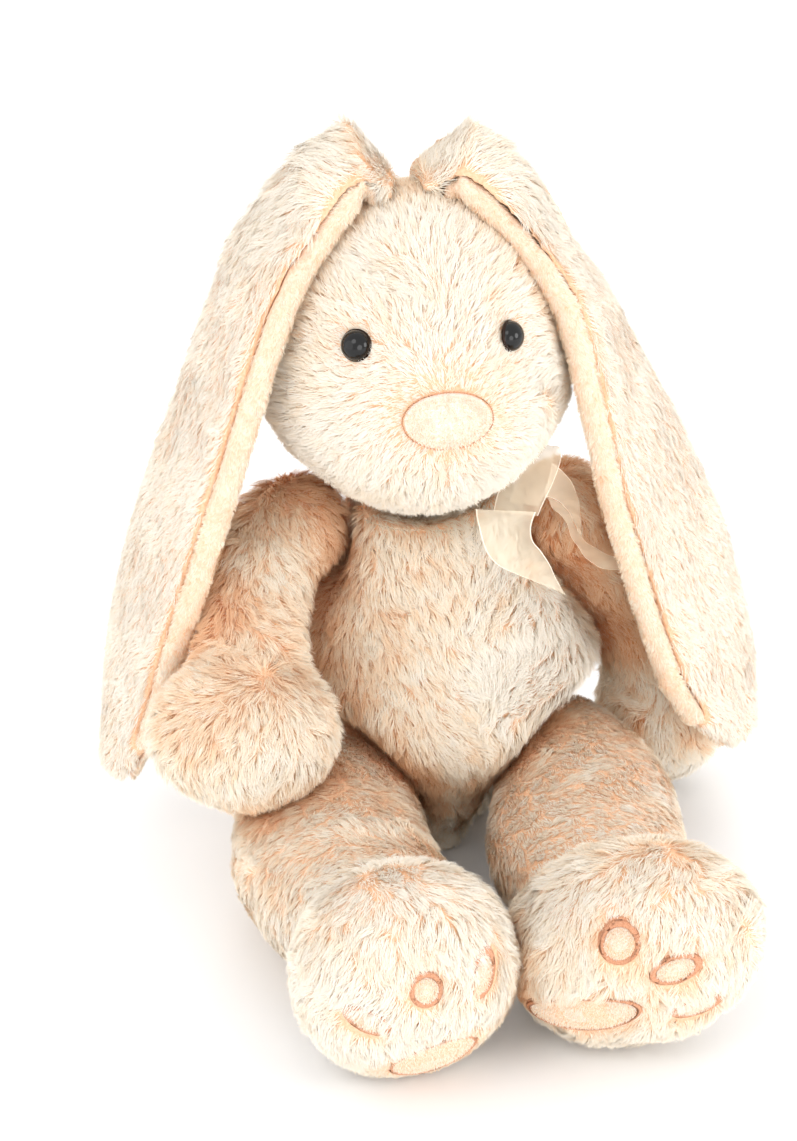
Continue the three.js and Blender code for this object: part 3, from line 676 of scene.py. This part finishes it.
def sole_point(foot, x, z, rise):
    """A point on the sole over local (x, z) in millimetres, lifted by rise, in the row frame."""
    turn, centre = foot_matrix(foot)
    dx, dz = x / SOLE["half_width"], z / SOLE["half_length"]
    dy = np.sqrt(np.maximum(0.02, 1 - dx * dx - dz * dz))
    local = np.stack([x, -(dy**0.8) * SOLE["depth"] - rise, z], -1) * MM
    out = local @ turn.T + centre
    out[..., 2] = np.maximum(out[..., 2], FLOOR_GAP)
    return out


def in_foot(foot, p):
    turn, centre = foot_matrix(foot)
    return (p - centre) @ turn / MM


def pad_share(foot, p):
    """The smallest share of any pad's oval at each point: under 1 is on a pad."""
    local = in_foot(foot, p)
    best = np.full(len(p), 9.0)
    for pad in foot["pads"].values():
        x, z = local[:, 0] - pad["spot"][0], local[:, 2] - pad["spot"][1]
        c, s = math.cos(pad["tilt"]), math.sin(pad["tilt"])
        u, v = (x * c + z * s) / (pad["size"][0] / 2), (-x * s + z * c) / (pad["size"][1] / 2)
        du, dv, share = pad.get("bare", (0, 0, 1))
        best = np.minimum(best, np.hypot(u - du, v - dv) / share)
    return np.where(local[:, 1] < -8, best, 9)


def leg_spec(side, seed):
    foot = FEET[side]
    centre = np.array(foot["centre"]) * MM
    whorl = centre + np.array([0, -0.012, 0.05])

    def length(p, n):
        fur = 5.8 + 3.4 * smoothstep(-p[:, 1], 0.13, 0.165) + 0.8 * waves(p, 0.03, seed + 5)[:, 0]
        share = pad_share(foot, p)
        return fur * (0.42 + 0.58 * smoothstep(share, 1.0, 1.7))

    def comb(p, n):
        outward = -0.5 if side == "left" else 0.5
        down_leg = np.array([outward, -0.55, -0.6])
        on_foot = smoothstep(-p[:, 1], 0.135, 0.165)[:, None]
        out = p - whorl
        far = smoothstep(np.linalg.norm(out, axis=1), 0.01, 0.05)[:, None]
        flow = np.array([0.0, -0.2, -0.8])[None] + 1.1 * unit(out) * far
        return down_leg[None] * (1 - on_foot) + flow * on_foot

    # Painted shade warms the thigh, the dimples round the pads and the whole right foot.
    def tint(p):
        leg = 1 - smoothstep(-p[:, 1], 0.12, 0.16)
        dimple = 1 - smoothstep(pad_share(foot, p), 1.1, 1.7)
        return 0.7 * leg + 1.0 * dimple + (0.5 * (1 - leg) if side == "right" else 0.0)

    return {
        "seed": seed, "per_mm2": 2.1, "width": 0.34, "clump": 3.6, "lift": 0.45, "pull": 0.75,
        "swirl": 0.35, "tone": 0.2, "root": 0.8, "middle": 0.3, "deepen": 2.0, "reach": 18,
        "blotch": 0.25,
        "tint": tint,
        "length": length, "comb": comb, "clear": lambda p: pad_share(foot, p) > 1.0,
        "where": lambda p, n: 0.12 + 0.88 * smoothstep(p[:, 2], 0.002, 0.006),
    }


for i, s in enumerate(SIDES):
    grow(f"leg_fur_{s}", f"leg_{s}", f"leg_{s}", leg_spec(s, 61 + 10 * i))


def off_partner(partner, gap):
    """1 where a point is farther than gap from the ear's other half."""
    def where(p, n):
        found = [TREES[partner].find_nearest(q)[3] for q in p.tolist()]
        return (np.array(found) > gap).astype(float)

    return where


def ear_comb(side):
    sign = -1 if side == "left" else 1

    def comb(p, n):
        hang = smoothstep(0.315 - p[:, 2], 0.0, 0.02)[:, None]
        over = np.tile([sign * 1.0, 0.0, 0.3], (len(p), 1))
        down = np.tile([sign * 0.3, 0.0, -1.0], (len(p), 1))
        return over * (1 - hang) + down * hang

    return comb


for i, s in enumerate(SIDES):
    grow(f"ear_fur_{s}", f"ear_{s}", f"ear_{s}", {
        "seed": 81 + 10 * i, "per_mm2": 2.1, "width": 0.32, "clump": 2.8, "lift": 0.48,
        "pull": 0.45, "swirl": 0.2, "tone": 0.0, "blotch": 0.12, "root": 0.8, "middle": 0.3,
        "deepen": 0.8,
        "reach": 10,
        "length": lambda p, n: 6.5 + 3.5 * smoothstep(p[:, 2], 0.26, 0.30),
        "comb": ear_comb(s), "where": off_partner(f"lining_{s}", 0.0026),
    })
    grow(f"ear_lining_pile_{s}", f"lining_{s}", f"ear_{s}", {
        "seed": 101 + 10 * i, "per_mm2": 2.4, "width": 0.3, "clump": 2.0, "lift": 0.8,
        "pull": 0.3, "swirl": 0.3, "tone": 1.2, "blotch": 0.15, "root": 0.6, "middle": 0.3,
        "deepen": 1.0,
        "reach": 12,
        "length": one_length(2.6),
        "comb": ear_comb(s), "where": off_partner(f"ear_{s}", 0.0012),
    })


# ---------- soles ----------
def oval(pad, share, angles):
    """Local (x, z) points of a pad's oval, shrunk or grown to a share of it."""
    u = np.cos(angles) * pad["size"][0] / 2 * share
    v = np.sin(angles) * pad["size"][1] / 2 * share
    c, s = math.cos(pad["tilt"]), math.sin(pad["tilt"])
    return pad["spot"][0] + u * c - v * s, pad["spot"][1] + u * s + v * c


def ring_faces(rings, sides):
    """The quads between rings of corners, each ring numbered after the one before."""
    faces = []
    for r in range(rings - 1):
        for k in range(sides):
            a, b = r * sides + k, r * sides + (k + 1) % sides
            faces.append((a, b, b + sides, a + sides))
    return faces


def disc(name, surface, shares, rises, mats, sides=56):
    """A dome of rings: surface(share, angles, rise) gives each ring, and share 0 is the middle."""
    angles = np.linspace(0, 2 * np.pi, sides, endpoint=False)
    rings = [surface(share, angles, rise) for share, rise in zip(shares, rises)]
    verts = np.concatenate(rings + [surface(0.0, angles[:1], rises[-1])])
    faces = ring_faces(len(rings), sides)
    last = (len(rings) - 1) * sides
    faces += [(last + k, last + (k + 1) % sides, len(verts) - 1) for k in range(sides)]
    faces.append(tuple(range(sides - 1, -1, -1)))
    obj = mesh_object(name, verts, faces, mats)
    smooth_shade(obj)
    return obj


def tube(verts, faces, path, radius, sides=5):
    """Adds a closed thin tube along a path of points to the lists."""
    path = [Vector(p) for p in path]
    start = len(verts)
    for i, p in enumerate(path):
        ahead = (path[min(i + 1, len(path) - 1)] - path[max(i - 1, 0)]).normalized()
        side = ahead.orthogonal().normalized()
        up = ahead.cross(side)
        end = 0.45 if i in (0, len(path) - 1) else 1.0
        for k in range(sides):
            a = 2 * math.pi * k / sides
            verts.append(p + (side * math.cos(a) + up * math.sin(a)) * radius * end)
    for i in range(len(path) - 1):
        for k in range(sides):
            a, b = start + i * sides + k, start + i * sides + (k + 1) % sides
            faces.append((a, b, b + sides, a + sides))
    faces.append(tuple(start + k for k in reversed(range(sides))))
    faces.append(tuple(start + (len(path) - 1) * sides + k for k in range(sides)))


def satin_ring(name, at, sizes, stitch, spacing, mats):
    """Threads side by side across an oval ring. at(share, angle, rise) gives its points."""
    rng = np.random.default_rng(5)
    verts, faces = [], []
    mean = (sizes[0] + sizes[1]) / 4
    count = int(2 * math.pi * mean / spacing)
    inner = 1 - stitch / mean
    for i in range(count):
        a = 2 * math.pi * (i + 0.25 * rng.random()) / count
        rise = 0.9 + 0.2 * rng.random()
        path = []
        for t in (0, 0.2, 0.5, 0.8, 1.0):
            share = inner + (1 - inner) * t
            arch = rise * math.sin(math.pi * (0.08 + 0.84 * t)) - 1.4
            path.append(at(share, np.array([a + 0.04 * (t - 0.5)]), arch)[0])
        tube(verts, faces, path, spacing * 0.56 * MM)
    obj = mesh_object(name, verts, faces, mats)
    smooth_shade(obj)
    return obj


def pile(name, body, spots, normals, length, width, base_tone, seed):
    """Very short pile on a patch, brushed down. length and width are in millimetres."""
    rng = np.random.default_rng(seed)
    n = len(spots)
    way = tangent(np.tile([0.0, 0.0, -1.0], (n, 1)) + 0.5 * rng.normal(size=(n, 3)), normals)
    size = length * MM * rng.uniform(0.7, 1.2, n)[:, None]
    t = STATIONS[None, :, None]
    rise, lean = normals[:, None] * 0.8 * t, way[:, None] * 0.55 * t * t
    rows = spots[:, None] + size[:, None] * (rise + lean)
    tone = base_tone + rng.normal(0, 0.75, n)
    levels = np.stack([tone + 1.2, tone + 0.4, tone], 1)
    half = width * MM * THICKEN * rng.uniform(0.7, 1.2, n) / 2
    strands(name, body, rows, {"side": normals, "half": half}, levels)


def patch_samples(at, count, edge, rise, seed):
    """Random spots and their normals on a patch, out to a share of its oval."""
    rng = np.random.default_rng(seed)
    share, angle = edge * np.sqrt(rng.random(count)), rng.uniform(0, 2 * np.pi, count)
    spots = at(share, angle, rise)
    beside = at(share, angle + 0.05, rise)
    inward = at(share * 0.95, angle, rise)
    normals = unit(np.cross(beside - spots, inward - spots))
    return spots, normals


for s in SIDES:
    foot = FEET[s]
    toward = foot_matrix(foot)[0] @ np.array([0, -1.0, 0])
    for label, pad in foot["pads"].items():
        def at(share, angles, rise, pad=pad, foot=foot):
            x, z = oval(pad, share, angles)
            return sole_point(foot, x, z, rise)

        inner = 1 - pad["stitch"] / ((pad["size"][0] + pad["size"][1]) / 4)
        shares = [inner + 0.04, inner + 0.02, inner, inner - 0.08, inner - 0.3, 0.3]
        body = f"leg_{s}"
        dome = disc(f"{label}_pad_velour_{s}", at, shares, [-5, -2.2, -1.6, -1.3, -1.0, -0.8],
                    [velour_mat])
        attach(dome, body)
        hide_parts(f"{label}_pad_{s}")
        core = disc(f"{label}_stitch_core_{s}", at, [0.99, 0.99, 0.96, inner],
                    [-5, -2.0, -1.5, -1.6], [thread_mat])
        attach(core, body)
        ring = satin_ring(f"{label}_satin_{s}", at, pad["size"], pad["stitch"], 0.55, [thread_mat])
        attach(ring, body)
        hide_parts(f"{label}_stitching_{s}")
        spread = int(math.pi * pad["size"][0] * pad["size"][1] / 4 * 5 * DENSITY)
        spots, normals = patch_samples(at, spread, inner, -1.1, 7)
        flip = (normals @ toward) < 0
        normals[flip] *= -1
        pile(f"{label}_pile_{s}", body, spots, normals, 1.1, 0.26, 1.0, 8)

# ---------- nose ----------
def nose_at(share, angles, rise):
    share = np.broadcast_to(share, np.shape(angles))
    x = NOSE[0] + np.cos(angles) * NOSE_HALF[0] * share
    z = NOSE[2] + np.sin(angles) * NOSE_HALF[1] * share
    out = []
    for px, pz, up in zip(x, z, np.broadcast_to(rise, np.shape(angles))):
        spot, normal, _, _ = TREES["head"].ray_cast((px, -0.2, pz), (0, 1, 0))
        crease = 0.7 * math.exp(-(((px - NOSE[0]) / 0.0011) ** 2))
        out.append(spot + normal * (up + 3.0 - crease) * MM)
    return np.array(out)


nose = disc("nose_velour", nose_at, [1.0, 1.0, 0.94, 0.82, 0.6, 0.35, 0.12],
            [-4.5, -0.8, 0.1, 0.7, 1.0, 1.1, 1.1], [nose_mat], 72)
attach(nose, "head")
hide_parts("nose_patch")
spots, normals = patch_samples(nose_at, int(3400 * (DENSITY + 0.15)), 0.97, 0.75, 9)
normals[normals[:, 1] > 0] *= -1
pile("nose_pile", "head", spots, normals, 1.6, 0.28, 0.5, 10)
verts, faces = [], []
turns = np.linspace(0, 2 * np.pi, 81)
for a, b in zip(turns[:-1], turns[1:]):
    ends = nose_at(1.03, np.array([a, (a + b) / 2, b - 0.015]), np.array([0.1, 0.5, 0.1]))
    tube(verts, faces, ends, 0.5 * MM, 6)
nose_line = mesh_object("nose_thread", verts, faces, [thread_mat])
smooth_shade(nose_line)
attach(nose_line, "head")
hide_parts("nose_stitching")

# ---------- eyes ----------
for s, spot, aside in zip(SIDES, EYES, (0.0, 0.05)):
    out = Vector(spot - HEAD + np.array([aside, 0, 0])).normalized()
    spot = spot - np.array(out) * (0.0006 + 0.02 * aside)
    turn = Vector((0, 0, 1)).rotation_difference(out).to_matrix().to_4x4()
    radius = EYE_RADIUS
    profile = [(2.0, -9), (2.0, -1.2), (radius - 0.5, -1.2), (radius + 0.15, -0.7)]
    profile += [(radius + 0.25, -0.1), (radius + 0.1, 0.35), (radius - 0.25, 0.5)]
    bend = np.linspace(0.07, math.pi / 2, 22)
    profile += [
        ((radius - 0.25) * math.cos(a), 0.4 + EYE_RISE * math.sin(a)) for a in bend[:-1]
    ]
    turned = [2 * math.pi * k / EYE_SIDES for k in range(EYE_SIDES)]
    verts = [
        (r * MM * math.cos(a), r * MM * math.sin(a), z * MM) for r, z in profile for a in turned
    ]
    top = len(verts)
    verts.append((0, 0, (0.4 + EYE_RISE) * MM))
    faces = ring_faces(len(profile), EYE_SIDES)
    last = top - EYE_SIDES
    faces += [(last + k, last + (k + 1) % EYE_SIDES, top) for k in range(EYE_SIDES)]
    faces.append(tuple(reversed(range(EYE_SIDES))))
    place_at = Matrix.Translation(Vector(spot)) @ turn
    eye = mesh_object(
        f"eye_dome_{s}", [place_at @ Vector(v) for v in verts], faces, [eye_mat, rim_mat]
    )
    for polygon in eye.data.polygons[: 6 * EYE_SIDES]:
        polygon.material_index = 1
    smooth_shade(eye)
    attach(eye, "head")
    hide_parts(f"eye_{s}")

# ---------- neck ----------
# The neck filling takes the peach backing, as painted shade where the head meets the body.
neck = skin("neck_filling", ["neck_stuffing"], "neck", skin_mat, inset=0.5)


# ---------- ribbon ----------
def catmull(points, count):
    """A smooth run through points, sampled count times."""
    p = np.array(points, float)
    p = np.vstack([2 * p[0] - p[1], p, 2 * p[-1] - p[-2]])
    spans = len(p) - 3
    out = []
    for x in np.linspace(0, spans, count):
        i = min(int(x), spans - 1)
        t = x - i
        a, b, c, d = p[i : i + 4]
        out.append(0.5 * (2 * b + (c - a) * t + (2 * a - 5 * b + 4 * c - d) * t * t
                          + (3 * b - a - 3 * c + d) * t**3))
    return np.array(out)


def cloth(name, replaced, edges, wave=0.5, count=48, across=17):
    """A strip of organza between two edges, lists of points in millimetres."""
    one, two = (catmull(edge, count) for edge in edges)
    line, half = (one + two) / 2, (two - one) / 2
    normal = unit(np.cross(np.gradient(line, axis=0), half))
    shares = np.linspace(-1, 1, across)
    shares[1], shares[-2] = -0.95, 0.95
    verts = []
    for i in range(count):
        for w in shares:
            ripple = wave * math.sin(2.1 * w + 0.35 * i) * math.cos(0.23 * i + 1.3 * w)
            verts.append((line[i] + half[i] * w + normal[i] * ripple) * MM)
    faces, tones = [], []
    for i in range(count - 1):
        for k in range(across - 1):
            a = i * across + k
            faces.append((a, a + 1, a + across + 1, a + across))
            tones.append(1 if k in (0, across - 2) else 0)
    obj = mesh_object(name, verts, faces, [ribbon_mat, selvedge_mat])
    obj.data.polygons.foreach_set("material_index", tones)
    smooth_shade(obj)
    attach(obj, "torso")
    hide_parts(replaced)


cloth("ribbon_loop_top", "ribbon_loop_upper", (
    [(11, -37, 172), (14, -35, 182), (20, -33, 189), (28, -31, 196), (35, -30, 198),
     (33, -28, 194), (25, -28, 186), (18, -33, 174)],
    [(27.4, -49, 174.4), (31.5, -47, 182.8), (35.7, -44, 189.8), (38.5, -40, 196.4),
     (38.6, -35, 198.5), (37, -32, 192), (35, -36, 184), (29, -41, 175)],
))
cloth("ribbon_loop_rear", "ribbon_loop_back", (
    [(35, -38, 193), (42, -34, 185.6), (47.3, -31, 176.4), (49.5, -30, 167.4), (50, -30, 160),
     (50, -31, 155)],
    [(31.7, -42, 180), (37.3, -38, 175.8), (41.9, -35, 170.8), (45.5, -33, 164.4),
     (48.1, -32, 158), (50.6, -31, 153.6)],
))
cloth("ribbon_tail_front_cloth", "ribbon_tail_front", (
    [(1, -50, 180), (1.3, -54, 174.7), (4, -58, 164.5), (8.7, -60, 158.6), (16.2, -61, 154.4),
     (25.3, -62, 150), (36.5, -62, 143.9)],
    [(26.3, -50, 176.8), (23.7, -53, 171.5), (23.9, -57, 167), (26.9, -59, 163.2),
     (30.7, -60, 156.9), (34, -61, 149.2), (37.8, -62, 142.4)],
))
cloth("ribbon_tail_side_cloth", "ribbon_tail_side", (
    [(31.9, -43, 180), (40.8, -38, 172.8), (45.3, -34, 164.9), (49.2, -31, 156.6),
     (53.5, -30, 150.5), (60.9, -29, 144.7), (68, -29, 141.3)],
    [(34.2, -49, 176.7), (40.1, -44, 169.7), (42.9, -41, 162), (46.5, -39, 154.1),
     (52, -37, 146.1), (58, -36, 141.3), (67.7, -36, 139)],
))


def at_neck(angle, z):
    """The point of the body's skin at that height and angle round the neck, in millimetres."""
    middle = Vector((-0.01, 0.004, z * MM))
    way = Vector((math.cos(angle), math.sin(angle), 0))
    spot = TREES["body"].ray_cast(middle + way * 0.2, -way)[0]
    spot = spot or TREES["body"].find_nearest(middle + way * 0.036)[0]
    return (spot + way * 0.0004) / MM


around = np.linspace(-math.pi / 2 + 0.35, 1.5 * math.pi + 0.35, 25)
band_edges = [[tuple(at_neck(a, z)) for a in around] for z in (152, 163)]
cloth("ribbon_band", "ribbon_neck_band", band_edges,
      wave=0.0, count=96, across=9)
knot = skin("ribbon_tie", ["ribbon_knot"], "torso", selvedge_mat, voxel=1.6,
            smooth=4, inset=0.6)
co, _, _ = arrays(knot)
behind_chin = np.array([-0.006, 0.026, 0.014])
knot.data.vertices.foreach_set("co", (co + behind_chin).ravel())

# ---------- hidden CAD pieces that stay ----------
for node, mat in (("eye_washer_left", washer_mat), ("eye_washer_right", washer_mat),
                  ("pellet_bag", cotton_mat)):
    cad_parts[node].data.materials.clear()
    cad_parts[node].data.materials.append(mat)

bpy.context.view_layer.update()
